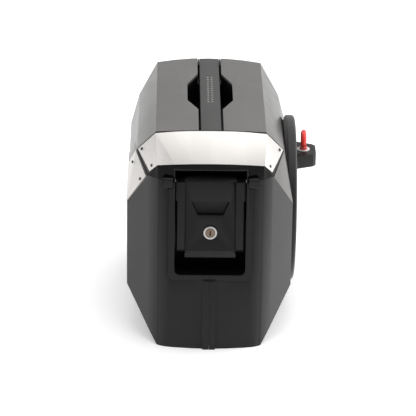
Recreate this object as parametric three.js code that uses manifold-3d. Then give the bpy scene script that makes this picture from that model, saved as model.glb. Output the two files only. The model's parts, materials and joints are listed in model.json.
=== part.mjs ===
// Side-mount garage door opener: a boxy motor unit with a carry handle, a hooded front with a
// key-locked release lever, and a big drive disc on its right-hand side.
//
// Millimetres, +Z up. While it is built, X = 0 is the plane where the two shells meet, Y = 0 is
// the front face and Z = 0 is the base. The last lines move the origin to the middle of the base
// of the whole object's box.

import * as THREE from 'three';
import { ConvexGeometry } from 'three/addons/geometries/ConvexGeometry.js';
import { mergeVertices } from 'three/addons/utils/BufferGeometryUtils.js';
import Module from 'manifold-3d';

const wasm = await Module();
wasm.setup();

// ---------------------------------------------------------------- driving dimensions

const GAP = 0.3; // between pieces that touch
const RUN = 0.5; // between pieces that move past each other

// Casing
const DEPTH = 330; // front face to back face
const MID_Y = DEPTH / 2;
const MID_Z = 145;
const SIDE_X = 107.7; // half width across the side faces
const FRONT_X = 67.5; // half width of the front face
const CORNER_Y = 50; // how far back the front corner faces run
const BASE_X = 67.7; // half width of the base
const SIDE_LOW_Z = 67; // lower edge of the side face
const SIDE_TOP_Z = 183; // upper edge of the side face at the front
const BACK_SIDE_X = 106; // the side faces come a little closer towards the back
const BACK_TOP_Z = 205; // upper edge of the side face at the back
const HOOD_CORNER_X = 80; // where the hood, the side slope and the front corner face meet
const HOOD_CORNER_Y = 15.5;
const CREASE_X = 94.5; // crease between the two slopes of the side
const CREASE_Y = 63.8;
const CREASE_Z = 252;
const TOP_X = 70.6; // half width of the top face
const TOP_Z = 287; // top face at its side edges
const TOP_Y = 33.6; // front edge of the top face
const HOOD_LOW_Z = 251.4; // where the sloping hood meets the front face
const HOOD_ARCH = 5; // how much higher that edge is at the middle
const HOOD_BOTTOM_Z = 234.7;
const TOP_CROWN = 3.5; // how much the top face is domed across its width
const FRONT_BULGE = 8; // how much the front face is domed across its width
const CROWN_STEPS = 6;
const WALL = 3.5;

// Centre ribs along the seam of the two shells
const RIB_X = 8.1;
const RIB_PROUD = 3;
const RIB_TOP_Z = 96;

// Silver trim
const TRIM_THICK = 1;
const BELT_TIP_Y = 155; // how far back the side plate's tip reaches
const PLATE_LIFT = 0.06; // part of the hood's slope left bare below its plate
const SHADOW_GAP = 2.4; // between the hood and the cover
const BEAD = 5; // width of the hood's bare rim beside the side plate

// Carry handle
const BAR_X = 13.3;
const BAR_THICK = 12;
const CHANNEL_X = 16;
const POCKET_X = 30;
const POCKET_Y0 = 108;
const POCKET_Y1 = 242;
const POCKET_FLAT_Y0 = 142;
const POCKET_FLAT_Y1 = 204;
const POCKET_FLOOR_Z = 250;
const WELL_WALL = 2.5;

// Release lever and the well that it sits in
const WELL_X = 45.7;
const WELL_Z0 = 105;
const WELL_Z1 = 249;
const WELL_DEPTH = 43;
const WELL_CORNER = 7; // radius of the opening's corners
const SCOOP_R = 26; // radius of the curve between the well's floor and its back
const FRAME_X = 54;
const FRAME_Z0 = 97.5;
const FRAME_Z1 = HOOD_BOTTOM_Z - 1;
const FRAME_FRONT_Y = -7.5;
const HINGE_Y = 10;
const HINGE_Z = 230;
const PIN_R = 3;
const EAR_X0 = WELL_X + WELL_WALL + GAP;
const EAR_X1 = 61;
const EAR_Z0 = 226;
const EAR_Z1 = 240;
const EAR_FRONT_Y = -9;
const LEVER_X = 44.6;
const LEVER_PANEL_X = 32.7;
const LEVER_TOP = 5.5; // above the hinge
const LEVER_BOTTOM = -94; // panel's lower edge, below the hinge
const LIP_BOTTOM = -100;
const LEVER_TILT = THREE.MathUtils.degToRad(6); // the lever's top leans inwards
const PANEL_FRONT = -5; // panel's face, in front of the hinge
const PANEL_THICK = 4;
const FLANGE_FRONT = -8;
const FLANGE_BACK = 6;
const LOCK_DROP = -68; // lock's centre, below the hinge
const LOCK_R = 8.75;
const LOCK_CYLINDER_R = 6;

// Drive
const AXIS_Z = 143;
const PLATE_HALF = 45; // half width of the square mounting plate
const SLEEVE_R = 20;
const BORE_R = 17.5;
const HUB_R = 38;
const HUB_BORE_R = 26;
const HUB_X0 = 64;
const DISC_R = 111;
const DISC_X0 = 101;
const DISC_X1 = 114;
const DISC_ROOM = 1.5; // round the disc, in the recess of the right-hand side
const RECESS_X = 100; // floor of that recess
const LUG_RADIUS = 61; // from the drive axis to the lug's middle
const LUG_THICK = 18;
const LUG_TIP_X = 142;
const LUG_BASE_Y = 28.5; // half width
const LUG_TIP_Y = 16.5;
const EYE_X = 125.5;
const EYE_R = 9;
const PULL_PIN_R = 4.6;
const LOOP_R = 9.5;
const LOOP_WIRE_R = 3.5;

// Gear train: the motor's worm turns the worm wheel, whose pinion turns the main gear
const MODULE = 2.5;
const MAIN_TEETH = 60;
const PINION_TEETH = 12;
const GEAR_X0 = 74;
const GEAR_X1 = 84;
const CENTRES = (MODULE * (MAIN_TEETH + PINION_TEETH)) / 2;
const PINION_ANGLE = -Math.PI / 4; // behind and below the axis
const ENCODER_ANGLE = (Math.PI * 3) / 4; // in front and above
const WHEEL_MODULE = 2;
const WHEEL_TEETH = 30;
const WHEEL_X0 = 22;
const WHEEL_X1 = 34;
const WORM_R = 8;
const MOTOR_R = 28;
const MOTOR_Y0 = 66;
const MOTOR_Y1 = 158;

// ---------------------------------------------------------------- solids and booleans

function solid(geometry) {
  const bare = geometry.clone();
  bare.deleteAttribute('normal');
  bare.deleteAttribute('uv');
  const merged = mergeVertices(bare, 1e-4);
  return new wasm.Manifold(
    new wasm.Mesh({
      numProp: 3,
      vertProperties: Float32Array.from(merged.attributes.position.array),
      triVerts: Uint32Array.from(merged.index.array),
    }),
  );
}

function geometryOf(manifold) {
  const mesh = manifold.getMesh();
  const geometry = new THREE.BufferGeometry();
  geometry.setAttribute('position', new THREE.BufferAttribute(Float32Array.from(mesh.vertProperties), 3));
  geometry.setIndex(new THREE.BufferAttribute(Uint32Array.from(mesh.triVerts), 1));
  return geometry;
}

function join(...pieces) {
  return geometryOf(pieces.map(solid).reduce((whole, piece) => whole.add(piece)));
}

function cut(base, ...tools) {
  return geometryOf(tools.map(solid).reduce((rest, tool) => rest.subtract(tool), solid(base)));
}

function common(a, b) {
  return geometryOf(solid(a).intersect(solid(b)));
}

function box(x0, x1, y0, y1, z0, z1) {
  const geometry = new THREE.BoxGeometry(x1 - x0, y1 - y0, z1 - z0);
  return geometry.translate((x0 + x1) / 2, (y0 + y1) / 2, (z0 + z1) / 2);
}

function mirrorX(geometry) {
  const copy = geometry.index ? geometry.toNonIndexed() : geometry.clone();
  copy.scale(-1, 1, 1);
  const p = copy.attributes.position;
  for (let i = 0; i < p.count; i += 3) {
    const [x, y, z] = [p.getX(i), p.getY(i), p.getZ(i)];
    p.setXYZ(i, p.getX(i + 1), p.getY(i + 1), p.getZ(i + 1));
    p.setXYZ(i + 1, x, y, z);
  }
  return copy;
}

// Turns geometry made along +Z so that it runs along another axis
const ALONG = {
  x: new THREE.Matrix4().set(0, 0, 1, 0, 1, 0, 0, 0, 0, 1, 0, 0, 0, 0, 0, 1),
  y: new THREE.Matrix4().set(1, 0, 0, 0, 0, 0, -1, 0, 0, 1, 0, 0, 0, 0, 0, 1),
  z: new THREE.Matrix4(),
};

// A flat outline, given across the axis, pushed from one place to another along it.
// Outlines are (y, z) across x, (x, z) across y and (x, y) across z.
function prism(axis, from, to, outline, holes = []) {
  const shape = new THREE.Shape(outline.map(([u, v]) => new THREE.Vector2(u, v)));
  shape.holes = holes.map((hole) => new THREE.Path(hole.map(([u, v]) => new THREE.Vector2(u, v))));
  const geometry = new THREE.ExtrudeGeometry(shape, { depth: to - from, bevelEnabled: false });
  geometry.applyMatrix4(ALONG[axis]);
  const shift = { x: [from, 0, 0], y: [0, to, 0], z: [0, 0, from] }[axis];
  return geometry.translate(...shift);
}

function circle(u, v, radius, sides) {
  return Array.from({ length: sides }, (_, i) => {
    const angle = (2 * Math.PI * i) / sides;
    return [u + radius * Math.cos(angle), v + radius * Math.sin(angle)];
  });
}

function rod(axis, from, to, u, v, radius, sides = 24) {
  return prism(axis, from, to, circle(u, v, radius, sides));
}

function ring(axis, from, to, u, v, radius, bore, sides = 32) {
  return prism(axis, from, to, circle(u, v, radius, sides), [circle(u, v, bore, sides)]);
}

function roundedBox(axis, from, to, u0, u1, v0, v1, radius) {
  const steps = 4;
  const outline = [];
  const corners = [
    [u1 - radius, v0 + radius],
    [u1 - radius, v1 - radius],
    [u0 + radius, v1 - radius],
    [u0 + radius, v0 + radius],
  ];
  corners.forEach(([u, v], corner) => {
    for (let i = 0; i <= steps; i += 1) {
      const angle = (Math.PI / 2) * (corner - 1 + i / steps);
      outline.push([u + radius * Math.cos(angle), v + radius * Math.sin(angle)]);
    }
  });
  return prism(axis, from, to, outline);
}

// Spur gear outline with straight-sided teeth, one of them centred at the given angle
function gearOutline(u, v, teeth, module, phase) {
  const pitch = (module * teeth) / 2;
  const step = (2 * Math.PI) / teeth;
  const outline = [];
  for (let i = 0; i < teeth; i += 1) {
    const middle = phase + i * step;
    const profile = [
      [-0.31, pitch - 1.25 * module],
      [-0.13, pitch + 0.9 * module],
      [0.13, pitch + 0.9 * module],
      [0.31, pitch - 1.25 * module],
    ];
    profile.forEach(([part, radius]) => {
      const angle = middle + part * step;
      outline.push([u + radius * Math.cos(angle), v + radius * Math.sin(angle)]);
    });
  }
  return outline;
}

// ---------------------------------------------------------------- the casing's outer form

const crown = (x, half) => 1 - (x / half) ** 2;
const across = (half) => Array.from(
  { length: CROWN_STEPS + 1 },
  (_, i) => half * ((2 * i) / CROWN_STEPS - 1),
);

const TOP_CORNER = [TOP_X, TOP_Y, TOP_Z];
const HOOD_TIP = [CREASE_X, CREASE_Y, CREASE_Z];
const HOOD_CORNER = [HOOD_CORNER_X, HOOD_CORNER_Y, HOOD_BOTTOM_Z];
const FRONT_CORNER = [FRONT_X, 0, HOOD_LOW_Z];
const SIDE_CORNER = [SIDE_X, CORNER_Y, SIDE_TOP_Z];
const BACK_CORNER = [BACK_SIDE_X, DEPTH - CORNER_Y, BACK_TOP_Z];

const bothSides = (points) => points.flatMap(([x, y, z]) => [[x, y, z], [-x, y, z]]);

function casingPoints() {
  const domed = [];
  across(TOP_X).forEach((x) => {
    const rise = crown(x, TOP_X);
    domed.push([x, TOP_Y - FRONT_BULGE * rise, TOP_Z + TOP_CROWN * rise]);
  });
  across(FRONT_X).forEach((x) => {
    const rise = crown(x, FRONT_X);
    domed.push([x, -FRONT_BULGE * rise, HOOD_LOW_Z + HOOD_ARCH * rise], [x, -FRONT_BULGE * rise, 0]);
  });
  const corners = [
    HOOD_TIP,
    [BASE_X, 0, 0],
  ];
  const ends = [...domed, ...bothSides(corners)];
  const back = ends.map(([x, y, z]) => [x, DEPTH - y, z]);
  const sides = bothSides([
    HOOD_CORNER,
    SIDE_CORNER,
    BACK_CORNER,
    [SIDE_X, CORNER_Y, SIDE_LOW_Z],
    [BACK_SIDE_X, DEPTH - CORNER_Y, SIDE_LOW_Z],
  ]);
  return [...ends, ...back, ...sides];
}

// Moves a point of the casing's skin outwards by about the given distance
function outwards([x, y, z], distance) {
  return [
    x * (1 + distance / SIDE_X),
    MID_Y + (y - MID_Y) * (1 + distance / MID_Y),
    MID_Z + (z - MID_Z) * (1 + distance / MID_Z),
  ];
}

function hull(points) {
  return new ConvexGeometry(points.map((point) => new THREE.Vector3(...point)));
}

function casing(distance = 0) {
  return hull(casingPoints().map((point) => outwards(point, distance)));
}

function skin(outer, inner) {
  return cut(casing(outer), casing(inner));
}

const farAbove = (z) => box(-200, 200, -50, DEPTH + 50, z, 400);

// The wedge from the casing's middle out through a patch of its skin
function wedge(patch, growth = 0) {
  const middle = new THREE.Vector3();
  const vectors = patch.map((point) => new THREE.Vector3(...point));
  vectors.forEach((vector) => middle.addScaledVector(vector, 1 / vectors.length));
  const apex = new THREE.Vector3(0, MID_Y, MID_Z);
  const reach = vectors.map((vector) => {
    const away = vector.clone().sub(middle).normalize().multiplyScalar(growth);
    return vector.clone().add(away).sub(apex).multiplyScalar(1.3).add(apex);
  });
  return new ConvexGeometry([apex, ...reach]);
}

const hoodPatch = bothSides([TOP_CORNER, HOOD_TIP, HOOD_CORNER, [FRONT_X, 0, HOOD_BOTTOM_Z - 15]]);

// The seam between the shells and the parts above them, across the casing from front to back
const seamLine = [
  [-60, HOOD_BOTTOM_Z],
  [HOOD_CORNER_Y, HOOD_BOTTOM_Z],
  [CORNER_Y, SIDE_TOP_Z],
  [DEPTH - CORNER_Y, BACK_TOP_Z],
  [DEPTH + 60, BACK_TOP_Z],
];
const belowSeam = () => prism('x', -200, 200, [
  ...seamLine.map(([y, z]) => [y, z - GAP]),
  [DEPTH + 60, -60],
  [-60, -60],
]);
const aboveSeam = () => prism('x', -200, 200, [...seamLine, [DEPTH + 60, 400], [-60, 400]]);

// The opening in the casing that the lever's well fills
function wellOpening(clearance) {
  const outer = WELL_X + WELL_WALL + clearance;
  const deep = WELL_DEPTH + WELL_WALL + clearance;
  const [low, high] = [WELL_Z0 - WELL_WALL - clearance, WELL_Z1 + WELL_WALL + clearance];
  const frameX = FRAME_X + clearance;
  const earX = EAR_X1 + clearance;
  return join(
    box(-outer, outer, -30, deep, low, high),
    roundedBox('y', -30, 12, -frameX, frameX, FRAME_Z0 - clearance, FRAME_Z1 + clearance, WELL_CORNER),
    box(-earX, earX, -30, 12 + clearance, EAR_Z0 - clearance, EAR_Z1 + clearance),
  );
}

// Wall round the recess that the drive disc turns in, on the right-hand side
function recessWall() {
  const radius = DISC_R + DISC_ROOM + WALL;
  return common(rod('x', RECESS_X - WALL, SIDE_X, MID_Y, AXIS_Z, radius, 64), casing());
}

function discRecess() {
  return rod('x', RECESS_X, 200, MID_Y, AXIS_Z, DISC_R + DISC_ROOM, 64);
}

// ---------------------------------------------------------------- casing pieces

function lowerShell() {
  const inner = -SIDE_X + WALL;
  const pad = box(inner - 0.5, inner + 6, MID_Y - 50, MID_Y + 50, AXIS_Z - 50, AXIS_Z + 48);
  const frontRib = box(-RIB_X, RIB_X, -FRONT_BULGE - RIB_PROUD, 0, 0, RIB_TOP_Z);
  const backRib = box(-RIB_X, RIB_X, DEPTH, DEPTH + FRONT_BULGE + RIB_PROUD, 0, BACK_TOP_Z - 4);
  const walls = join(skin(0, -WALL), common(pad, casing()), recessWall());
  const whole = join(walls, cut(frontRib, casing(-1)), cut(backRib, casing(-1)));
  return cut(common(whole, belowSeam()), wellOpening(GAP));
}

function leftShell() {
  const half = common(lowerShell(), box(-200, -GAP / 2, -50, DEPTH + 50, -50, 400));
  const clear = PLATE_HALF + GAP;
  const [y0, y1] = [MID_Y - clear, MID_Y + clear];
  const platePocket = box(-200, -SIDE_X + 3 + GAP, y0, y1, AXIS_Z - clear, AXIS_Z + clear);
  const inlet = box(-62, -32, DEPTH - 12, DEPTH + 30, 60, 84);
  const screwHoles = mountScrewPlaces.map(([y, z]) => rod('x', -SIDE_X, -90, y, z, 2.8, 12));
  return cut(half, platePocket, rod('x', -200, -60, MID_Y, AXIS_Z, SLEEVE_R + GAP, 32), inlet, ...screwHoles);
}

function rightShell() {
  const half = common(lowerShell(), box(GAP / 2, 200, -50, DEPTH + 50, -50, 400));
  const vents = ventPlaces.map((z) => box(22, 58, DEPTH - 15, DEPTH + 30, z, z + 4));
  return cut(half, discRecess(), rod('x', 60, 200, MID_Y, AXIS_Z, HUB_R + 1, 32), ...vents);
}

const ventPlaces = Array.from({ length: 7 }, (_, i) => 60 + 9 * i);
const mountCorners = [[-34, -34], [34, -34], [34, 34], [-34, 34]];
const mountScrewPlaces = mountCorners.map(([y, z]) => [MID_Y + y, AXIS_Z + z]);

function pocketOutline(spread) {
  const side = [
    [CHANNEL_X, POCKET_Y0],
    [POCKET_X, POCKET_FLAT_Y0],
    [POCKET_X, POCKET_FLAT_Y1],
    [CHANNEL_X, POCKET_Y1],
  ];
  const right = side.map(([x, y]) => [x + spread, y + Math.sign(y - MID_Y) * spread * 0.5]);
  const left = right.map(([x, y]) => [-x, y]).reverse();
  return [...right, ...left];
}

// The channel round the handle bar, open at both ends, and the two hand pockets
function handleVoid(spread, floor) {
  return join(
    box(-CHANNEL_X - spread, CHANNEL_X + spread, -50, DEPTH + 50, TOP_Z - BAR_THICK + floor, 400),
    prism('z', POCKET_FLOOR_Z + floor, 400, pocketOutline(spread)),
  );
}

function topCover() {
  const upper = common(join(skin(0, -WALL), recessWall()), aboveSeam());
  return cut(upper, wedge(hoodPatch, SHADOW_GAP), wellOpening(GAP), handleVoid(0, 0), discRecess());
}

function frontHood() {
  const nose = common(skin(0, -WALL), wedge(hoodPatch));
  return cut(common(nose, farAbove(HOOD_BOTTOM_Z)), wellOpening(GAP));
}

function hoodTrimPlate() {
  const lowCorner = [HOOD_CORNER_X - 2, HOOD_CORNER_Y - 1.6, HOOD_BOTTOM_Z + 5.6];
  const patch = bothSides([
    [TOP_X - 0.6, TOP_Y - 1.8, TOP_Z - 1.8],
    [CREASE_X - 2, CREASE_Y - 3.4, CREASE_Z],
    lowCorner,
    [FRONT_X, 0, HOOD_LOW_Z],
  ]);
  const arch = across(FRONT_X).map((x) => {
    const rise = crown(x, FRONT_X);
    const slopeFoot = [x, -FRONT_BULGE * rise, HOOD_LOW_Z + HOOD_ARCH * rise];
    const slopeHead = [(x * TOP_X) / FRONT_X, TOP_Y - FRONT_BULGE * rise, TOP_Z + TOP_CROWN * rise];
    return mix([1 - PLATE_LIFT, PLATE_LIFT], slopeFoot, slopeHead);
  });
  const belowArch = wedge([...arch, ...bothSides([lowCorner, [HOOD_CORNER_X - 2, 0, HOOD_BOTTOM_Z - 30]])]);
  const sheet = common(skin(GAP + TRIM_THICK, GAP), wedge([...patch, ...arch]));
  return cut(sheet, belowArch);
}

// The left-hand plate: it covers the slope above the front corner and tapers to a tip behind it
function sideTrimPlate() {
  const edge = 1;
  const outline = [
    [CREASE_Y + edge, CREASE_Z - edge],
    [HOOD_CORNER_Y + 3, HOOD_BOTTOM_Z - edge],
    [CORNER_Y, SIDE_TOP_Z + edge],
    [BELT_TIP_Y, SIDE_TOP_Z + 11],
  ];
  const slope = common(skin(GAP + TRIM_THICK, GAP), prism('x', -130, -60, outline));
  return cut(slope, wedge(hoodPatch, BEAD));
}

function handleWell() {
  const tub = cut(common(handleVoid(WELL_WALL, -WELL_WALL), casing(-WALL - GAP)), handleVoid(0, 0));
  // Strips that close the gaps beside the bar where the channel runs out at the back
  const channelFloor = TOP_Z - BAR_THICK;
  const strip = join(
    box(BAR_X + GAP, CHANNEL_X - GAP, DEPTH - 50, DEPTH - 35, channelFloor - 1, 400),
    box(BAR_X + GAP, CHANNEL_X - GAP, DEPTH - 50, DEPTH + 50, channelFloor + GAP, 400),
  );
  const strips = [strip, mirrorX(strip)].map((piece) => common(piece, casing(-0.8)));
  return join(tub, ...strips);
}

function carryHandle() {
  const bar = box(-BAR_X, BAR_X, -50, DEPTH + 50, TOP_Z - BAR_THICK + GAP, 400);
  return cut(common(bar, casing(-0.2)), wedge(hoodPatch, SHADOW_GAP));
}

// ---------------------------------------------------------------- release lever

function leverWell() {
  const outer = WELL_X + WELL_WALL;
  const tub = box(-outer, outer, -4, WELL_DEPTH + WELL_WALL, WELL_Z0 - WELL_WALL, WELL_Z1 + WELL_WALL);
  const frame = roundedBox('y', FRAME_FRONT_Y, 11.5, -FRAME_X, FRAME_X, FRAME_Z0, FRAME_Z1, 7);
  const whole = join(common(tub, casing(-1)), frame);
  const scoop = Array.from({ length: 7 }, (_, i) => {
    const angle = (Math.PI / 12) * i;
    return [WELL_DEPTH - SCOOP_R * (1 - Math.sin(angle)), WELL_Z0 + SCOOP_R * (1 - Math.cos(angle))];
  });
  const inside = common(
    prism('x', -WELL_X, WELL_X, [[-40, WELL_Z0], ...scoop, [WELL_DEPTH, WELL_Z1], [-40, WELL_Z1]]),
    roundedBox('y', -41, DEPTH, -WELL_X, WELL_X, WELL_Z0, WELL_Z1 + 2 * WELL_CORNER, WELL_CORNER),
  );
  const ears = [-1, 1].map((side) => {
    const [a, b] = [side * (EAR_X0 - GAP), side * 200].sort((p, q) => p - q);
    return box(a, b, -30, 12.5, EAR_Z0 - GAP, EAR_Z1 + GAP);
  });
  const slot = box(-6, 6, WELL_DEPTH - 5, WELL_DEPTH + 10, 212, 226);
  return cut(whole, inside, ...ears, rod('x', -100, 100, HINGE_Y, HINGE_Z, PIN_R + GAP, 20), slot);
}

function hingeBracket(side) {
  const block = roundedBox('x', EAR_X0, EAR_X1, EAR_FRONT_Y, 12, EAR_Z0, EAR_Z1, 3);
  const bracket = cut(block, rod('x', EAR_X0 - 5, EAR_X1 - 2, HINGE_Y, HINGE_Z, PIN_R + GAP, 20));
  return side < 0 ? mirrorX(bracket) : bracket;
}

// The lever and its lock are drawn upright about the hinge axis, then tilted with their group
function releaseLever() {
  const panelBack = PANEL_FRONT + PANEL_THICK;
  const panel = prism('x', -LEVER_PANEL_X, LEVER_PANEL_X, [
    [PANEL_FRONT, LEVER_BOTTOM],
    [panelBack, LEVER_BOTTOM],
    [panelBack, -4],
    [8, 2],
    [8, LEVER_TOP],
    [PANEL_FRONT + 4, LEVER_TOP],
    [PANEL_FRONT, -0.5],
  ]);
  const flangeOutline = [
    [FLANGE_FRONT, LEVER_BOTTOM + 4],
    [FLANGE_FRONT + 4, LEVER_BOTTOM],
    [FLANGE_BACK - 3, LEVER_BOTTOM],
    [FLANGE_BACK, LEVER_BOTTOM + 4],
    [FLANGE_BACK, LEVER_TOP - 4],
    [2, LEVER_TOP - 2],
    [FLANGE_FRONT + 5, LEVER_TOP - 2],
    [FLANGE_FRONT, -0.5],
  ];
  const flange = prism('x', LEVER_PANEL_X - 0.5, LEVER_X, flangeOutline);
  const flangeCorner = prism('y', -30, 30, [
    [LEVER_X - 5, LEVER_BOTTOM - 1],
    [LEVER_X + 1, LEVER_BOTTOM - 1],
    [LEVER_X + 1, LEVER_BOTTOM + 5],
    [LEVER_X - 1.5, LEVER_BOTTOM + 1.5],
  ]);
  const flangeEdge = prism('z', LEVER_BOTTOM - 1, -25, [
    [LEVER_X - 2.2, FLANGE_FRONT - 1],
    [LEVER_X + 1, FLANGE_FRONT - 1],
    [LEVER_X + 1, FLANGE_FRONT + 4],
    [LEVER_X - 2.2, FLANGE_FRONT + 0.8],
  ]);
  const [grooveX0, grooveX1] = [LEVER_PANEL_X - 1, LEVER_PANEL_X + 0.3];
  const groove = box(grooveX0, grooveX1, -60, PANEL_FRONT + 1.5, LEVER_BOTTOM - 1, LEVER_TOP + 1);
  const lip = prism('x', -LEVER_PANEL_X, LEVER_PANEL_X, [
    [panelBack, LEVER_BOTTOM + 1],
    [PANEL_FRONT, LEVER_BOTTOM + 1],
    [PANEL_FRONT - 5.5, LIP_BOTTOM + 1.5],
    [PANEL_FRONT - 5, LIP_BOTTOM],
    [panelBack, LIP_BOTTOM],
  ]);
  const lockBoss = rod('y', PANEL_FRONT + 1, PANEL_FRONT + 12, 0, LOCK_DROP, 13, 24);
  const gripBack = box(-27, 27, PANEL_FRONT + 1, PANEL_FRONT + 13, -50, -22);
  const gripOutline = [[-24.5, -27], [-16.5, -45], [16.5, -45], [24.5, -27]];
  const grip = prism('y', PANEL_FRONT - 1, PANEL_FRONT + 10, gripOutline);
  const whole = join(panel, flange, mirrorX(flange), lip, lockBoss, gripBack);
  return cut(
    whole,
    grip,
    rod('y', -60, 60, 0, LOCK_DROP, LOCK_R - 0.5 + GAP, 24),
    rod('y', -60, PANEL_FRONT + 0.5, 0, LOCK_DROP, LOCK_R + GAP, 24),
    rod('x', -60, 60, 0, 0, PIN_R + GAP, 20),
    groove,
    mirrorX(groove),
    flangeCorner,
    mirrorX(flangeCorner),
    flangeEdge,
    mirrorX(flangeEdge),
  );
}

const lockFront = PANEL_FRONT - 2;
const lockBack = PANEL_FRONT + 13;

function lockBody() {
  const bezel = rod('y', lockFront, PANEL_FRONT + 0.2, 0, LOCK_DROP, LOCK_R, 24);
  const barrel = rod('y', lockFront, lockBack, 0, LOCK_DROP, LOCK_R - 0.5, 24);
  return cut(join(bezel, barrel), rod('y', -60, 60, 0, LOCK_DROP, LOCK_CYLINDER_R + GAP, 24));
}

function lockCylinder() {
  const plug = rod('y', lockFront + 0.5, lockBack + 1, 0, LOCK_DROP, LOCK_CYLINDER_R, 24);
  const keyway = box(-0.8, 0.8, -60, lockFront + 8, LOCK_DROP - 3.6, LOCK_DROP + 3.6);
  return cut(plug, keyway);
}

function lockCam() {
  return roundedBox('y', lockBack + 1 + GAP, lockBack + 4, -5, 5, LOCK_DROP - 7, LOCK_DROP + 18, 4);
}

function releaseSlider() {
  const bar = box(-5, 5, WELL_DEPTH - 14, 84, 214, 224);
  const fork = box(-30, 30, 84, 88, 212, 224);
  return join(bar, fork);
}

// ---------------------------------------------------------------- drive disc and lug

const discScrewPlaces = circle(MID_Y, AXIS_Z, 32, 4);

function driveDisc() {
  const rimRound = 4.5;
  const rim = Array.from({ length: 5 }, (_, i) => {
    const angle = (Math.PI / 8) * i;
    return [DISC_R - rimRound * (1 - Math.cos(angle)), DISC_X1 - rimRound * (1 - Math.sin(angle))];
  });
  const profile = [
    [SLEEVE_R, DISC_X0], [DISC_R - 2, DISC_X0], [DISC_R, DISC_X0 + 2], ...rim,
    [DISC_R - 12, DISC_X1], [DISC_R - 16, DISC_X1 - 6],
    [56, DISC_X1 - 6], [50, DISC_X1], [SLEEVE_R, DISC_X1],
    [SLEEVE_R, DISC_X0],
  ].map(([radius, x]) => new THREE.Vector2(radius, x));
  const plate = new THREE.LatheGeometry(profile, 48);
  // The lathe turns about its own Y axis, which becomes the drive axis
  plate.applyMatrix4(new THREE.Matrix4().set(0, 1, 0, 0, 0, 0, 1, 0, 1, 0, 0, 0, 0, 0, 0, 1));
  plate.translate(0, MID_Y, AXIS_Z);
  const ribs = Array.from({ length: 8 }, (_, i) => {
    const rib = box(DISC_X0 + 2, DISC_X1 - 1, -2, 2, 50, DISC_R - 10);
    return rib.rotateX((Math.PI / 4) * (i + 0.5)).translate(0, MID_Y, AXIS_Z);
  });
  const lugSeat = box(DISC_X0 + 2, DISC_X1, -33, 33, LUG_RADIUS - 14, LUG_RADIUS + 14);
  lugSeat.translate(0, MID_Y, AXIS_Z);
  const holes = discScrewPlaces.flatMap(([y, z]) => [
    rod('x', DISC_X0 - 5, DISC_X1 + 5, y, z, 2.8, 12),
    rod('x', DISC_X1 - 3, DISC_X1 + 5, y, z, 5.3, 16),
  ]);
  return cut(join(plate, ...ribs, lugSeat), ...holes);
}

function driveHub() {
  const tube = ring('x', HUB_X0, DISC_X0 - GAP, MID_Y, AXIS_Z, HUB_R, HUB_BORE_R, 32);
  return cut(tube, ...discScrewPlaces.map(([y, z]) => rod('x', DISC_X0 - 14, DISC_X0 + 5, y, z, 2.8, 12)));
}

function discScrew([y, z]) {
  return join(
    rod('x', DISC_X1 - 2.7, DISC_X1 - 0.3, y, z, 5, 16),
    rod('x', DISC_X0 - 12, DISC_X1 - 1, y, z, 2.5, 12),
  );
}

const lugZ0 = AXIS_Z + LUG_RADIUS - LUG_THICK / 2;
const lugZ1 = AXIS_Z + LUG_RADIUS + LUG_THICK / 2;

function driveLug() {
  const start = DISC_X1 + GAP;
  const outline = [
    [start, MID_Y - LUG_BASE_Y], [LUG_TIP_X - 4, MID_Y - LUG_TIP_Y - 2], [LUG_TIP_X, MID_Y - LUG_TIP_Y + 3],
    [LUG_TIP_X, MID_Y + LUG_TIP_Y - 3], [LUG_TIP_X - 4, MID_Y + LUG_TIP_Y + 2], [start, MID_Y + LUG_BASE_Y],
  ];
  return cut(prism('z', lugZ0, lugZ1, outline), rod('z', lugZ0 - 5, lugZ1 + 5, EYE_X, MID_Y, EYE_R, 20));
}

function lugBush() {
  const sleeve = rod('z', lugZ0 + 0.5, lugZ1 + 0.6, EYE_X, MID_Y, EYE_R - GAP, 20);
  return cut(sleeve, rod('z', lugZ0 - 5, lugZ1 + 5, EYE_X, MID_Y, PULL_PIN_R + RUN, 16));
}

function pullRing() {
  const loop = new THREE.TorusGeometry(LOOP_R, LOOP_WIRE_R, 8, 20);
  loop.rotateY(Math.PI / 2);
  loop.translate(EYE_X, MID_Y, lugZ1 + 1 + LOOP_R + LOOP_WIRE_R);
  return join(loop, rod('z', lugZ0 - 6, lugZ1 + 4, EYE_X, MID_Y, PULL_PIN_R, 16));
}

// ---------------------------------------------------------------- mechanism inside

function bearing(x0) {
  return ring('x', x0, x0 + 8, MID_Y, AXIS_Z, HUB_BORE_R - GAP, SLEEVE_R + GAP, 32);
}

const atAngle = (angle, distance) => [
  MID_Y + distance * Math.cos(angle),
  AXIS_Z + distance * Math.sin(angle),
];
const [pinionY, pinionZ] = atAngle(PINION_ANGLE, CENTRES);
const [encoderY, encoderZ] = atAngle(ENCODER_ANGLE, CENTRES);
const WORM_TIP_R = WORM_R + 1.4;
const WHEEL_TIP_R = (WHEEL_MODULE * WHEEL_TEETH) / 2 + 0.9 * WHEEL_MODULE;
const wormZ = pinionZ - WHEEL_TIP_R - WORM_TIP_R - GAP;
const wormX = (WHEEL_X0 + WHEEL_X1) / 2;
const SHAFT_R = 5;
const PLATE_X0 = 58;
const PLATE_X1 = 61;

function mainGear() {
  const outline = gearOutline(MID_Y, AXIS_Z, MAIN_TEETH, MODULE, PINION_ANGLE);
  return prism('x', GEAR_X0, GEAR_X1, outline, [circle(MID_Y, AXIS_Z, HUB_R + GAP, 32)]);
}

function smallGear(y, z, angle, bore) {
  const phase = angle + Math.PI + Math.PI / PINION_TEETH;
  const outline = gearOutline(y, z, PINION_TEETH, MODULE, phase);
  return prism('x', GEAR_X0 - 2, GEAR_X1 + 2, outline, [circle(y, z, bore, 20)]);
}

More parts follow.
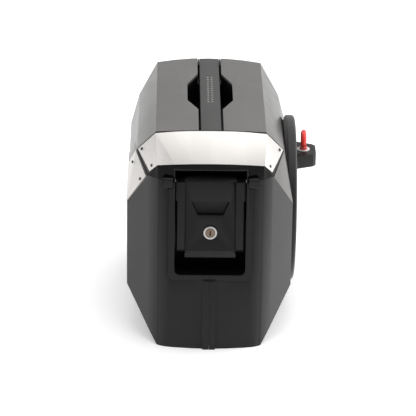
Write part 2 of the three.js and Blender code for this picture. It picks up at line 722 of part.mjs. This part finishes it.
function wormWheel() {
  const phase = -Math.PI / 2 + Math.PI / WHEEL_TEETH;
  const outline = gearOutline(pinionY, pinionZ, WHEEL_TEETH, WHEEL_MODULE, phase);
  return prism('x', WHEEL_X0, WHEEL_X1, outline, [circle(pinionY, pinionZ, SHAFT_R + GAP, 20)]);
}

function wormShaft() {
  const pitch = Math.PI * WHEEL_MODULE;
  const start = pinionY - 2.5 * pitch;
  const profile = [[0, MOTOR_Y1 + GAP], [4, MOTOR_Y1 + GAP], [4, start - 2], [WORM_R - 2.2, start - 2]];
  for (let i = 0; i < 5; i += 1) {
    const from = start + i * pitch;
    profile.push([WORM_R - 2.2, from + 0.2 * pitch], [WORM_TIP_R, from + 0.4 * pitch]);
    profile.push([WORM_TIP_R, from + 0.6 * pitch], [WORM_R - 2.2, from + 0.8 * pitch]);
  }
  const end = start + 5 * pitch;
  profile.push([WORM_R - 2.2, end + 2], [4, end + 2], [4, end + 12], [0, end + 12]);
  const shaft = new THREE.LatheGeometry(profile.map(([radius, y]) => new THREE.Vector2(radius, y)), 14);
  return shaft.translate(wormX, 0, wormZ);
}

function chassisPlate() {
  const outline = [[80, 76], [190, 76], [204, 50], [262, 50], [262, 222], [66, 222], [66, 92]];
  const holes = [
    circle(MID_Y, AXIS_Z, SLEEVE_R + GAP, 32),
    circle(pinionY, pinionZ, SHAFT_R + GAP, 20),
    circle(encoderY, encoderZ, 3 + GAP, 16),
  ];
  const postPlaces = [[82, 88], [252, 62], [78.5, 212], [252, 212]];
  const posts = postPlaces.map(([y, z]) => rod('x', PLATE_X0 + 1, 94, y, z, 5, 16));
  return join(prism('x', PLATE_X0, PLATE_X1, outline, holes), ...posts);
}

function transformerCore() {
  const frame = box(-72, -16, 230, 260, 20, 68);
  return cut(frame, box(-63, -52, 200, 300, 28, 60), box(-36, -25, 200, 300, 28, 60));
}

function transformerCoil() {
  return cut(box(-62, -26, 218, 272, 28.5, 59.5), box(-52.5, -35.5, 229.5, 260.5, 0, 100));
}

// The board with its relays, capacitors, terminal strip and heat sink
function controlBoard() {
  const capacitor = (y, z) => rod('x', -95, -74, y, z, 7, 16);
  return join(
    box(-96, -94.3, 100, 214, 62, 122),
    box(-95, -77, 106, 124, 68, 86),
    box(-95, -77, 128, 146, 68, 86),
    capacitor(114, 102),
    capacitor(132, 102),
    box(-95, -85, 152, 205, 66, 76),
    box(-95, -72, 156, 200, 84, 96),
  );
}

// A flat-headed screw standing on the casing's skin
function skinScrew(point, normal, height, radius) {
  const head = new THREE.CylinderGeometry(radius * 0.8, radius, height, 16);
  head.translate(0, height / 2, 0);
  const turn = new THREE.Quaternion().setFromUnitVectors(new THREE.Vector3(0, 1, 0), normal);
  return head.applyQuaternion(turn).translate(...point);
}

function planeNormal(a, b, c) {
  const [p, q, r] = [a, b, c].map((point) => new THREE.Vector3(...point));
  const normal = q.sub(p).cross(r.sub(p)).normalize();
  const out = p.sub(new THREE.Vector3(0, MID_Y, MID_Z));
  return normal.dot(out) < 0 ? normal.negate() : normal;
}

function mix(weights, ...points) {
  return [0, 1, 2].map((axis) => points.reduce((sum, point, i) => sum + weights[i] * point[axis], 0));
}

function trimScrews() {
  const lift = TRIM_THICK + 2 * GAP;
  const wing = planeNormal(TOP_CORNER, FRONT_CORNER, HOOD_TIP);
  const slope = planeNormal(HOOD_TIP, HOOD_CORNER, SIDE_CORNER);
  const onWing = [
    [mix([0.12, 0.15, 0.73], TOP_CORNER, FRONT_CORNER, HOOD_TIP), wing],
    [mix([-0.1, 0.82, 0.28], TOP_CORNER, FRONT_CORNER, HOOD_TIP), wing],
  ];
  const onSlope = [
    [mix([0.77, -0.06, 0.29], HOOD_TIP, HOOD_CORNER, SIDE_CORNER), slope],
    [mix([0.125, 0.6, 0.275], HOOD_TIP, HOOD_CORNER, SIDE_CORNER), slope],
  ];
  const stand = ([point, normal]) => skinScrew(outwards(point, lift), normal, 0.8, 2.2);
  const right = onWing.map(stand);
  return [...right, ...right.map(mirrorX), ...onSlope.map(stand).map(mirrorX)];
}

function mountPlate() {
  const [y0, y1] = [MID_Y - PLATE_HALF, MID_Y + PLATE_HALF];
  const plate = box(-SIDE_X, -SIDE_X + 3, y0, y1, AXIS_Z - PLATE_HALF, AXIS_Z + PLATE_HALF);
  return cut(
    plate,
    rod('x', -200, 0, MID_Y, AXIS_Z, SLEEVE_R + GAP, 32),
    ...mountScrewPlaces.flatMap(([y, z]) => [
      rod('x', -200, 0, y, z, 2.8, 12),
      rod('x', -200, -SIDE_X + 1.7, y, z, 5.3, 16),
    ]),
  );
}

function mountScrew([y, z]) {
  return join(
    rod('x', -SIDE_X + 0.3, -SIDE_X + 1.4, y, z, 5, 16),
    rod('x', -SIDE_X + 1, -SIDE_X + 9, y, z, 2.5, 12),
  );
}

function powerInlet() {
  const body = box(-62 + GAP, -32 - GAP, DEPTH - 14, DEPTH + 5, 60 + GAP, 84 - GAP);
  const socket = cut(body, box(-57, -37, DEPTH - 8, DEPTH + 10, 64, 80));
  const pinPlaces = [[-53, 67], [-47, 73], [-41, 67]];
  const pins = pinPlaces.map(([x, z]) => box(x - 1, x + 1, DEPTH - 9, DEPTH - 3, z, z + 4));
  return join(socket, ...pins);
}

function terminalCover() {
  const lid = roundedBox('y', DEPTH + 5, DEPTH + 9, -62, -20, 104, 150, 4);
  return cut(lid, casing(GAP));
}

// ---------------------------------------------------------------- finishes

function finish(colour, roughness, metalness) {
  return new THREE.MeshStandardMaterial({ color: colour, roughness, metalness });
}

const blackShell = finish(0x17181a, 0.55, 0);
const blackGloss = finish(0x0c0c0e, 0.2, 0);
const greyCover = finish(0x3b3c3f, 0.42, 0.1);
const silver = finish(0xc3c4c6, 0.35, 0.9);
const darkSteel = finish(0x4a4b4e, 0.4, 0.9);
const steel = finish(0x9a9c9f, 0.35, 0.9);
const chrome = finish(0xd9dadb, 0.12, 1);
const discGrey = finish(0x4c4d50, 0.5, 0);
const red = finish(0xc0281c, 0.4, 0);
const white = finish(0xe4e4e0, 0.4, 0);
const brass = finish(0xb08d4c, 0.35, 0.9);
const nylon = finish(0xd8d2c0, 0.5, 0);
const copper = finish(0xa45a34, 0.4, 0.5);
const boardGreen = finish(0x1d5a38, 0.5, 0);

// ---------------------------------------------------------------- assembly

const opener = new THREE.Group();

function add(parent, name, geometry, material) {
  const mesh = new THREE.Mesh(geometry, material);
  mesh.name = name;
  parent.add(mesh);
  return mesh;
}

add(opener, 'left_shell', leftShell(), blackShell);
add(opener, 'right_shell', rightShell(), blackShell);
add(opener, 'top_cover', topCover(), greyCover);
add(opener, 'front_hood', frontHood(), blackGloss);
add(opener, 'hood_trim_plate', hoodTrimPlate(), silver);
add(opener, 'left_trim_plate', sideTrimPlate(), silver);
trimScrews().forEach((screw, i) => add(opener, `trim_screw_${i + 1}`, screw, darkSteel));
add(opener, 'handle_well', handleWell(), blackShell);
add(opener, 'carry_handle', carryHandle(), greyCover);

add(opener, 'lever_well', leverWell(), blackShell);
add(opener, 'left_hinge_bracket', hingeBracket(-1), blackShell);
add(opener, 'right_hinge_bracket', hingeBracket(1), blackShell);
add(opener, 'lever_hinge_pin', rod('x', -EAR_X1 + 3, EAR_X1 - 3, HINGE_Y, HINGE_Z, PIN_R, 20), steel);
const lever = new THREE.Group();
lever.position.set(0, HINGE_Y, HINGE_Z);
lever.rotation.x = -LEVER_TILT;
opener.add(lever);
add(lever, 'release_lever', releaseLever(), blackShell);
add(lever, 'lock_body', lockBody(), chrome);
add(lever, 'lock_cylinder', lockCylinder(), chrome);
add(lever, 'lock_cam', lockCam(), steel);
add(opener, 'release_slider', releaseSlider(), steel);

add(opener, 'drive_disc', driveDisc(), discGrey);
add(opener, 'drive_hub', driveHub(), steel);
discScrewPlaces.forEach((place, i) => add(opener, `disc_screw_${i + 1}`, discScrew(place), steel));
add(opener, 'drive_lug', driveLug(), discGrey);
add(opener, 'lug_bush', lugBush(), white);
add(opener, 'pull_ring', pullRing(), red);

add(opener, 'axle_sleeve', ring('x', -SIDE_X, DISC_X0 - 2, MID_Y, AXIS_Z, SLEEVE_R, BORE_R, 32), steel);
add(opener, 'inner_bearing', bearing(HUB_X0 + 1), brass);
add(opener, 'outer_bearing', bearing(DISC_X0 - 14), brass);
add(opener, 'main_gear', mainGear(), nylon);
add(opener, 'pinion', smallGear(pinionY, pinionZ, PINION_ANGLE, SHAFT_R + GAP), steel);
add(opener, 'pinion_shaft', rod('x', 14, 92, pinionY, pinionZ, SHAFT_R, 20), steel);
add(opener, 'worm_wheel', wormWheel(), nylon);
add(opener, 'worm_shaft', wormShaft(), steel);
add(opener, 'encoder_gear', smallGear(encoderY, encoderZ, ENCODER_ANGLE, 3 + GAP), nylon);
add(opener, 'encoder_shaft', rod('x', PLATE_X0 - 8, GEAR_X1 + 6, encoderY, encoderZ, 3, 16), steel);
add(opener, 'chassis_plate', chassisPlate(), steel);
add(opener, 'motor_can', rod('y', MOTOR_Y0, MOTOR_Y1, wormX, wormZ, MOTOR_R, 24), steel);
add(opener, 'motor_end_cap', rod('y', MOTOR_Y0 - 10, MOTOR_Y0 - GAP, wormX, wormZ, MOTOR_R - 2, 24), blackShell);
add(opener, 'transformer_core', transformerCore(), darkSteel);
add(opener, 'transformer_coil', transformerCoil(), copper);
add(opener, 'control_board', controlBoard(), boardGreen);

add(opener, 'mount_plate', mountPlate(), steel);
mountScrewPlaces.forEach((place, i) => add(opener, `mount_screw_${i + 1}`, mountScrew(place), steel));
add(opener, 'power_inlet', powerInlet(), blackShell);
add(opener, 'terminal_cover', terminalCover(), blackShell);

// The origin goes to the middle of the base of the whole object's box
const bounds = new THREE.Box3().setFromObject(opener);
const middle = bounds.getCenter(new THREE.Vector3());
opener.position.set(-middle.x, -middle.y, -bounds.min.z);

export default opener;
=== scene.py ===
"""Looks of a side-mount garage door opener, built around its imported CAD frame.

Metres, +Z up. +Y runs from the front, with the release lever, to the back, and +X to the side
with the drive disc.
"""

import json
import math

import bmesh
import bpy
from mathutils import Matrix, Vector


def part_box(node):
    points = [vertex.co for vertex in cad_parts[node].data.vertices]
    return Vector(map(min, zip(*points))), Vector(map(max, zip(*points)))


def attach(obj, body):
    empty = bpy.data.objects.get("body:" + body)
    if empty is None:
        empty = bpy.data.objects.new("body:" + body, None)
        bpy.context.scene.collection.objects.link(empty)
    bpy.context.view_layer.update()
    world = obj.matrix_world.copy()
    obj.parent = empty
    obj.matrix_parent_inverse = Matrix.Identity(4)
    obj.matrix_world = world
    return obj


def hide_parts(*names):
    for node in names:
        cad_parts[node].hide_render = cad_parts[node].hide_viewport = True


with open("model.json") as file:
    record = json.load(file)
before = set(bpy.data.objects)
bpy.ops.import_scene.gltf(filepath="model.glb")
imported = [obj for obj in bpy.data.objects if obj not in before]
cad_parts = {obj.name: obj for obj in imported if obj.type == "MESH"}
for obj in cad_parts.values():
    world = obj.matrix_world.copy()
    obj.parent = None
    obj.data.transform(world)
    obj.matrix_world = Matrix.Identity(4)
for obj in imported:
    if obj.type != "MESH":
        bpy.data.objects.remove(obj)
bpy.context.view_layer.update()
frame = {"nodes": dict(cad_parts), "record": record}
nodes = frame["nodes"]
MM = 0.001

# ---------------------------------------------------------------- camera

VIEW_ELEVATION = math.radians(23.0)
VIEW_AZIMUTH = math.radians(0.93)
VIEW_ROLL = math.radians(0.84)
VIEW_DISTANCE = 3.502
LENS_MM = 224.5
TARGET_SHIFT = (-0.5 * MM, 5 * MM)  # from the middle of the casing
TARGET_HEIGHT = 0.124


def make_camera():
    camera = bpy.data.objects.new("camera", bpy.data.cameras.new("camera"))
    camera.data.lens = LENS_MM
    camera.data.sensor_width = 36.0
    camera.data.clip_end = 50.0
    casing_middle = (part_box("left_shell")[0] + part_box("right_shell")[1]) / 2
    target = Vector((
        casing_middle.x + TARGET_SHIFT[0],
        casing_middle.y + TARGET_SHIFT[1],
        TARGET_HEIGHT,
    ))
    forward = Vector((
        math.sin(VIEW_AZIMUTH) * math.cos(VIEW_ELEVATION),
        math.cos(VIEW_AZIMUTH) * math.cos(VIEW_ELEVATION),
        -math.sin(VIEW_ELEVATION),
    ))
    level = Vector((math.cos(VIEW_AZIMUTH), -math.sin(VIEW_AZIMUTH), 0))
    upright = level.cross(forward)
    right = level * math.cos(VIEW_ROLL) + upright * math.sin(VIEW_ROLL)
    up = upright * math.cos(VIEW_ROLL) - level * math.sin(VIEW_ROLL)
    turn = Matrix((right, up, -forward)).transposed().to_4x4()
    camera.matrix_world = Matrix.Translation(target - forward * VIEW_DISTANCE) @ turn
    bpy.context.scene.collection.objects.link(camera)
    bpy.context.scene.camera = camera


make_camera()

# ---------------------------------------------------------------- materials

NOISE_LOW = 0.3  # a noise pattern hardly leaves this range
NOISE_HIGH = 0.7


class Paint:
    """A Principled material with a few procedural layers in the object's own space."""

    def __init__(self, name, color, roughness, metallic=0.0, **sockets):
        self.material = bpy.data.materials.new(name)
        self.material.use_nodes = True
        self.tree = self.material.node_tree
        self.shader = self.tree.nodes["Principled BSDF"]
        self.color = color
        self.roughness = roughness
        self.shader.inputs["Base Color"].default_value = (*color, 1)
        self.shader.inputs["Roughness"].default_value = roughness
        self.shader.inputs["Metallic"].default_value = metallic
        for socket, value in sockets.items():
            self.shader.inputs[socket.replace("_", " ")].default_value = value
        self.place = self.node("ShaderNodeTexCoord").outputs["Object"]
        self.normal = None

    def node(self, kind, **values):
        """Adds a node, with its settings and unlinked inputs given by name."""
        made = self.tree.nodes.new(kind)
        for name, value in values.items():
            if hasattr(made, name):
                setattr(made, name, value)
            else:
                made.inputs[name.replace("_", " ")].default_value = value
        return made

    def link(self, output, socket):
        self.tree.links.new(output, socket)

    def stretched(self, scale):
        mapping = self.node("ShaderNodeMapping")
        mapping.inputs["Scale"].default_value = scale
        self.link(self.place, mapping.inputs["Vector"])
        return mapping.outputs["Vector"]

    def noise(self, scale, detail=3.0, stretch=None):
        made = self.node("ShaderNodeTexNoise", Scale=scale, Detail=detail)
        self.link(self.stretched(stretch) if stretch else self.place, made.inputs["Vector"])
        return made.outputs["Fac"]

    def ramp(self, source, low, high):
        """Maps a 0 to 1 pattern to a range of values."""
        made = self.node("ShaderNodeMapRange")
        made.inputs["From Min"].default_value = NOISE_LOW
        made.inputs["From Max"].default_value = NOISE_HIGH
        made.inputs["To Min"].default_value = low
        made.inputs["To Max"].default_value = high
        self.link(source, made.inputs["Value"])
        return made.outputs["Result"]

    def mottle(self, source, amount):
        """Varies the colour a little, lighter and darker."""
        made = self.node("ShaderNodeMix", data_type="RGBA")
        share, low, high, mixed = made.inputs[0], made.inputs[6], made.inputs[7], made.outputs[2]
        dark = tuple(c * (1 - amount) for c in self.color)
        light = tuple(min(1.0, c * (1 + amount)) for c in self.color)
        low.default_value = (*dark, 1)
        high.default_value = (*light, 1)
        self.link(self.ramp(source, 0.0, 1.0), share)
        self.link(mixed, self.shader.inputs["Base Color"])
        return self

    def vary_roughness(self, source, amount):
        varied = self.ramp(source, self.roughness - amount, self.roughness + amount)
        self.link(varied, self.shader.inputs["Roughness"])
        return self

    def bump(self, source, height, strength=1.0):
        made = self.node("ShaderNodeBump", Strength=strength, Distance=height)
        self.link(source, made.inputs["Height"])
        if self.normal:
            self.link(self.normal, made.inputs["Normal"])
        self.normal = made.outputs["Normal"]
        self.link(self.normal, self.shader.inputs["Normal"])
        return self


def textured_black():
    black = (0.0045, 0.0044, 0.0043)
    paint = Paint("shell_black", black, 0.42, Specular_IOR_Level=0.13, Sheen_Weight=0.42)
    paint.bump(paint.noise(1100, 2), 0.00012, 0.5)
    paint.bump(paint.noise(38, 2), 0.0004, 0.10)
    paint.mottle(paint.noise(22), 0.12)
    return paint.vary_roughness(paint.noise(60, 4), 0.04).material


def recess_black():
    paint = Paint("recess_black", (0.0045, 0.0045, 0.0046), 0.34, Specular_IOR_Level=0.22)
    paint.bump(paint.noise(1300, 2), 0.0001, 0.4)
    paint.mottle(paint.noise(25), 0.15)
    return paint.vary_roughness(paint.noise(60, 4), 0.05).material


def gloss_black():
    paint = Paint("hood_gloss", (0.002, 0.002, 0.0022), 0.16, Specular_IOR_Level=0.1)
    paint.bump(paint.noise(90, 2), 0.0002, 0.06)
    paint.mottle(paint.noise(30), 0.1)
    return paint.vary_roughness(paint.noise(70, 4), 0.03).material


def satin_grey():
    paint = Paint("cover_grey", (0.118, 0.114, 0.111), 0.34)
    paint.bump(paint.noise(1300, 2), 0.00008, 0.30)
    paint.bump(paint.noise(30, 2), 0.0004, 0.06)
    paint.mottle(paint.noise(18), 0.05)
    return paint.vary_roughness(paint.noise(50, 4), 0.03).material


def bar_grey():
    paint = Paint("bar_grey", (0.036, 0.035, 0.034), 0.40)
    paint.bump(paint.noise(1300, 2), 0.00008, 0.35)
    paint.mottle(paint.noise(18), 0.06)
    return paint.vary_roughness(paint.noise(50, 4), 0.03).material


def brushed_silver():
    paint = Paint("trim_silver", (0.64, 0.62, 0.60), 0.46, metallic=0.75)
    grain = paint.noise(900, 3, (0.02, 1.0, 1.0))
    paint.bump(grain, 0.00002, 0.35)
    return paint.vary_roughness(grain, 0.04).mottle(grain, 0.03).material


def zinc(name="steel", color=(0.46, 0.46, 0.47), roughness=0.36):
    paint = Paint(name, color, roughness, metallic=1.0)
    paint.mottle(paint.noise(160, 4), 0.12)
    return paint.vary_roughness(paint.noise(240, 4), 0.08).material


def chrome(name="lock_chrome", color=(0.40, 0.39, 0.38), roughness=0.16):
    paint = Paint(name, color, roughness, metallic=1.0)
    turned = paint.noise(700, 3, (1.0, 0.05, 1.0))
    return paint.vary_roughness(turned, 0.05).mottle(turned, 0.10).material


def plastic(name, color, roughness, grain=900, **sockets):
    paint = Paint(name, color, roughness, **sockets)
    paint.bump(paint.noise(grain, 2), 0.00006, 0.4)
    paint.mottle(paint.noise(40), 0.08)
    return paint.vary_roughness(paint.noise(120, 3), 0.05).material


def winding():
    paint = Paint("coil_copper", (0.45, 0.17, 0.07), 0.35, metallic=0.7)
    wire = paint.node("ShaderNodeTexWave", Scale=500.0, bands_direction="Z")
    paint.link(paint.place, wire.inputs["Vector"])
    paint.bump(wire.outputs["Fac"], 0.0004, 0.8)
    return paint.mottle(wire.outputs["Fac"], 0.3).material


def laminations():
    paint = Paint("core_dark", (0.08, 0.08, 0.085), 0.5, metallic=0.6)
    sheets = paint.node("ShaderNodeTexWave", Scale=600.0, bands_direction="Y")
    paint.link(paint.place, sheets.inputs["Vector"])
    paint.bump(sheets.outputs["Fac"], 0.0003, 0.6)
    return paint.mottle(sheets.outputs["Fac"], 0.2).material


MATERIALS = {
    "shell_black": textured_black(),
    "recess_black": recess_black(),
    "hood_gloss": gloss_black(),
    "cover_grey": satin_grey(),
    "bar_grey": bar_grey(),
    "dot_grey": plastic("dot_grey", (0.26, 0.255, 0.25), 0.4),
    "trim_silver": brushed_silver(),
    "screw_dark": zinc("screw_dark", (0.05, 0.048, 0.045), 0.4),
    "lock_chrome": chrome(),
    "lock_plug": chrome("lock_plug", (0.17, 0.13, 0.10), 0.24),
    "steel": zinc(),
    "disc_grey": plastic(
        "disc_grey", (0.014, 0.0134, 0.013), 0.42, Specular_IOR_Level=0.2, Sheen_Weight=0.22,
    ),
    "lug_grey": plastic("lug_grey", (0.014, 0.0135, 0.013), 0.38, Specular_IOR_Level=0.3),
    "bush_white": plastic("bush_white", (0.80, 0.80, 0.78), 0.35),
    "ring_red": plastic("ring_red", (0.80, 0.045, 0.035), 0.32, Coat_Weight=0.15),
    "bearing_bronze": zinc("bearing_bronze", (0.55, 0.38, 0.16), 0.4),
    "gear_nylon": plastic("gear_nylon", (0.70, 0.67, 0.58), 0.45),
    "core_dark": laminations(),
    "coil_copper": winding(),
    "board_green": plastic("board_green", (0.02, 0.12, 0.05), 0.3, grain=400),
}
# Finishes that differ a little from the one of their slot
FINISH_OF = {
    "lever_well": "recess_black",
    "handle_well": "recess_black",
    "release_lever": "recess_black",
    "left_hinge_bracket": "recess_black",
    "right_hinge_bracket": "recess_black",
    "carry_handle": "bar_grey",
    "lock_cylinder": "lock_plug",
    "drive_lug": "lug_grey",
}
SLOT_OF = {row["node"]: row["material_slot"] for row in frame["record"]["subparts"]}
BODIES = frame["record"]["behaviour"]["bodies"]
BODY_OF = {node: body for body, members in BODIES.items() for node in members}

for name, node_object in nodes.items():
    node_object.data.materials.clear()
    node_object.data.materials.append(MATERIALS[FINISH_OF.get(name, SLOT_OF[name])])

# ---------------------------------------------------------------- making pieces

BEVEL_ANGLE = math.radians(24)  # edges sharper than this are rounded
SMOOTH_ANGLE = math.radians(32)  # edges softer than this are shaded smooth
FACET_ANGLE = math.radians(0.4)  # facets flatter than this are one face
WELD = 0.003 * MM


def apply_modifiers(piece):
    bpy.context.view_layer.update()
    depsgraph = bpy.context.evaluated_depsgraph_get()
    mesh = bpy.data.meshes.new_from_object(piece.evaluated_get(depsgraph))
    piece.modifiers.clear()
    piece.data = mesh
    mesh.shade_smooth()
    mesh.set_sharp_from_angle(angle=SMOOTH_ANGLE)


def new_piece(name, mesh, slot, body, finish=None):
    piece = bpy.data.objects.new(name, mesh)
    bpy.context.scene.collection.objects.link(piece)
    mesh.materials.clear()
    mesh.materials.append(MATERIALS[finish or slot])
    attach(piece, body)
    return piece


def clean_copy(node):
    """A CAD node's mesh with its flat facets joined."""
    bm = bmesh.new()
    bm.from_mesh(nodes[node].data)
    bmesh.ops.remove_doubles(bm, verts=bm.verts, dist=WELD)
    bmesh.ops.dissolve_limit(bm, angle_limit=FACET_ANGLE, verts=bm.verts, edges=bm.edges)
    return bm


def refine(node, width, segments=3, shape=None):
    """Puts a copy with rounded edges in a CAD node's place, shaped first if a function is given."""
    bm = clean_copy(node)
    if shape:
        shape(bm)
    mesh = bpy.data.meshes.new(node + "_skin")
    bm.to_mesh(mesh)
    bm.free()
    piece = new_piece(node + "_skin", mesh, SLOT_OF[node], BODY_OF[node], FINISH_OF.get(node))
    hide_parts(node)
    bevel = piece.modifiers.new("edges", "BEVEL")
    bevel.width = width
    bevel.segments = segments
    bevel.limit_method = "ANGLE"
    bevel.angle_limit = BEVEL_ANGLE
    bevel.use_clamp_overlap = True
    bevel.miter_outer = "MITER_ARC"
    weights = piece.modifiers.new("normals", "WEIGHTED_NORMAL")
    weights.keep_sharp = True
    apply_modifiers(piece)


# ---------------------------------------------------------------- shapes of single pieces

casing_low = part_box("left_shell")[0]
casing_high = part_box("right_shell")[1]
CASING_X = (casing_low.x + casing_high.x) / 2
CREASE_X = 67.5 * MM  # half width of the front face
BLEND_WIDTH = 13.0 * MM  # how far the blend reaches to each side of a crease
BLEND_STEPS = 4
BLEND_SLOPE = 1.05  # change of slope across the crease
BLEND_DEPTH = 42.0 * MM  # how far behind the front face points are moved
NOSE_Z = 251.0 * MM  # the creases stay sharp from here up
NOSE_FADE = 6.0 * MM  # and the blend is full this far below
SOCKET_RIM = 0.6 * MM
SOCKET_DEPTH = 0.5 * MM
SOCKET_TAPER = 0.9  # the socket's floor against its mouth


def slice_upright(bm, x):
    """Cuts the mesh along an upright plane that runs from front to back."""
    everything = bm.verts[:] + bm.edges[:] + bm.faces[:]
    bmesh.ops.bisect_plane(bm, geom=everything, dist=1e-6, plane_co=(x, 0, 0), plane_no=(1, 0, 0))


def blend_creases(bm):
    """Blends the front and back faces into the slanting corner faces over a wide curve."""
    for side in (-1, 1):
        for step in range(-BLEND_STEPS, BLEND_STEPS + 1):
            slice_upright(bm, CASING_X + side * (CREASE_X + BLEND_WIDTH * step / BLEND_STEPS))
    for vert in bm.verts:
        reach = max(0.0, BLEND_WIDTH - abs(abs(vert.co.x - CASING_X) - CREASE_X))
        depth = BLEND_SLOPE * reach ** 2 / (4 * BLEND_WIDTH)
        fade = min(1.0, max(0.0, (NOSE_Z - vert.co.z) / NOSE_FADE))
        if vert.co.y < casing_low.y + BLEND_DEPTH:
            vert.co.y += depth * fade
        elif vert.co.y > casing_high.y - BLEND_DEPTH:
            vert.co.y -= depth * fade


def shape_screw(bm):
    """Sinks a round socket into the flat end of a screw's head."""
    most = max(len(face.verts) for face in bm.faces)
    ends = [face for face in bm.faces if len(face.verts) == most]
    outer = min(ends, key=lambda face: face.calc_area())
    middle = outer.calc_center_median()
    normal = outer.normal.copy()
    bmesh.ops.inset_region(bm, faces=[outer], thickness=SOCKET_RIM)
    for vert in outer.verts:
        vert.co = middle + (vert.co - middle) * SOCKET_TAPER - normal * SOCKET_DEPTH


# How wide the edges of each piece are rounded, in millimetres
EDGE_WIDTHS = {
    "handle_well": 0.8,
    "carry_handle": 1.2,
    "hood_trim_plate": 0.3,
    "left_trim_plate": 0.3,
    "lever_well": 1.0,
    "left_hinge_bracket": 1.0,
    "right_hinge_bracket": 1.0,
    "release_lever": 1.3,
    "lock_body": 0.6,
    "lock_cylinder": 0.3,
    "drive_disc": 0.8,
    "drive_lug": 1.2,
    "lug_bush": 0.4,
    "mount_plate": 0.4,
    "power_inlet": 0.6,
    "terminal_cover": 0.8,
}
CASING_EDGE = 1.2 * MM
SCREW_EDGE = 0.15 * MM
for node, width in EDGE_WIDTHS.items():
    refine(node, width * MM)
for node in ("left_shell", "right_shell", "front_hood", "top_cover"):
    refine(node, CASING_EDGE, shape=blend_creases)
for node in [node for node in nodes if node.startswith("trim_screw_")]:
    refine(node, SCREW_EDGE, segments=2, shape=shape_screw)

DOT_ROWS = 12
DOT_PITCH = 8.4 * MM
COLUMN_PITCH = 5.2 * MM
DOT_RADIUS = 1.6 * MM
DOT_FLATNESS = 0.35
DOT_START = casing_low.y + 146 * MM
DOT_SINK = 0.1 * MM
TOP_CROWN = 3.5 * MM  # how much the top face is domed across its width
TOP_HALF_WIDTH = 70.6 * MM


def grip_dots():
    """Plain rows of low raised dots along the top of the handle bar."""
    low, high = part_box("carry_handle")
    bm = bmesh.new()
    for row in range(DOT_ROWS):
        for side in (-1, 1):
            x = side * COLUMN_PITCH / 2
            z = high.z - DOT_SINK - TOP_CROWN * (x / TOP_HALF_WIDTH) ** 2
            place = Vector(((low.x + high.x) / 2 + x, DOT_START + row * DOT_PITCH, z))
            made = bmesh.ops.create_uvsphere(bm, u_segments=10, v_segments=6, radius=DOT_RADIUS)
            for vert in made["verts"]:
                vert.co = Vector((vert.co.x, vert.co.y, vert.co.z * DOT_FLATNESS)) + place
    mesh = bpy.data.meshes.new("handle_grip_dots")
    bm.to_mesh(mesh)
    bm.free()
    mesh.shade_smooth()
    new_piece("handle_grip_dots", mesh, SLOT_OF["carry_handle"], "casing", "dot_grey")


grip_dots()

# ---------------------------------------------------------------- stage and light

FLOOR_HALF = 9.0
OBJECT_MIDDLE = (0.0, 0.0, 0.15)
BOX_SIZE = (0.9, 1.6)
OVERHEAD_SIZE = (1.8, 1.8)
SUN_TILT = math.radians(8)


def plain_floor():
    mesh = bpy.data.meshes.new("floor")
    corners = [(x * FLOOR_HALF, y * FLOOR_HALF, 0) for x, y in ((-1, -1), (1, -1), (1, 1), (-1, 1))]
    mesh.from_pydata(corners, [], [(0, 1, 2, 3)])
    floor = bpy.data.objects.new("floor", mesh)
    bpy.context.scene.collection.objects.link(floor)
    glow = {"Emission_Color": (1, 1, 1, 1), "Emission_Strength": 0.22}
    paint = Paint("floor_white", (0.93, 0.93, 0.93), 0.8, **glow)
    paint.mottle(paint.noise(3), 0.004)
    mesh.materials.append(paint.material)


def area_light(name, place, size, power):
    """A soft box that faces the object."""
    light = bpy.data.lights.new(name, "AREA")
    light.shape = "RECTANGLE"
    light.size, light.size_y = size
    light.energy = power
    lamp = bpy.data.objects.new(name, light)
    lamp.location = place
    direction = Vector(OBJECT_MIDDLE) - Vector(place)
    lamp.rotation_euler = direction.to_track_quat("-Z", "Y").to_euler()
    bpy.context.scene.collection.objects.link(lamp)


def soft_top_light(strength, spread):
    """Even light from almost straight above, soft enough to leave no hard shadow."""
    light = bpy.data.lights.new("soft_top", "SUN")
    light.energy = strength
    light.angle = spread
    lamp = bpy.data.objects.new("soft_top", light)
    lamp.rotation_euler = (-SUN_TILT, SUN_TILT, 0)
    bpy.context.scene.collection.objects.link(lamp)


plain_floor()
world = bpy.data.worlds.new("studio")
bpy.context.scene.world = world
world.use_nodes = True
background = world.node_tree.nodes["Background"]
background.inputs["Color"].default_value = (1, 1, 1, 1)
background.inputs["Strength"].default_value = 0.55
area_light("overhead", place=(0.3, -0.2, 2.2), size=OVERHEAD_SIZE, power=12)
area_light("right_box", place=(2.3, 0.5, 0.9), size=BOX_SIZE, power=20)
area_light("left_box", place=(-2.3, 0.5, 0.9), size=BOX_SIZE, power=2)
soft_top_light(strength=1.5, spread=math.radians(100))
bpy.context.scene.view_settings.view_transform = "Standard"
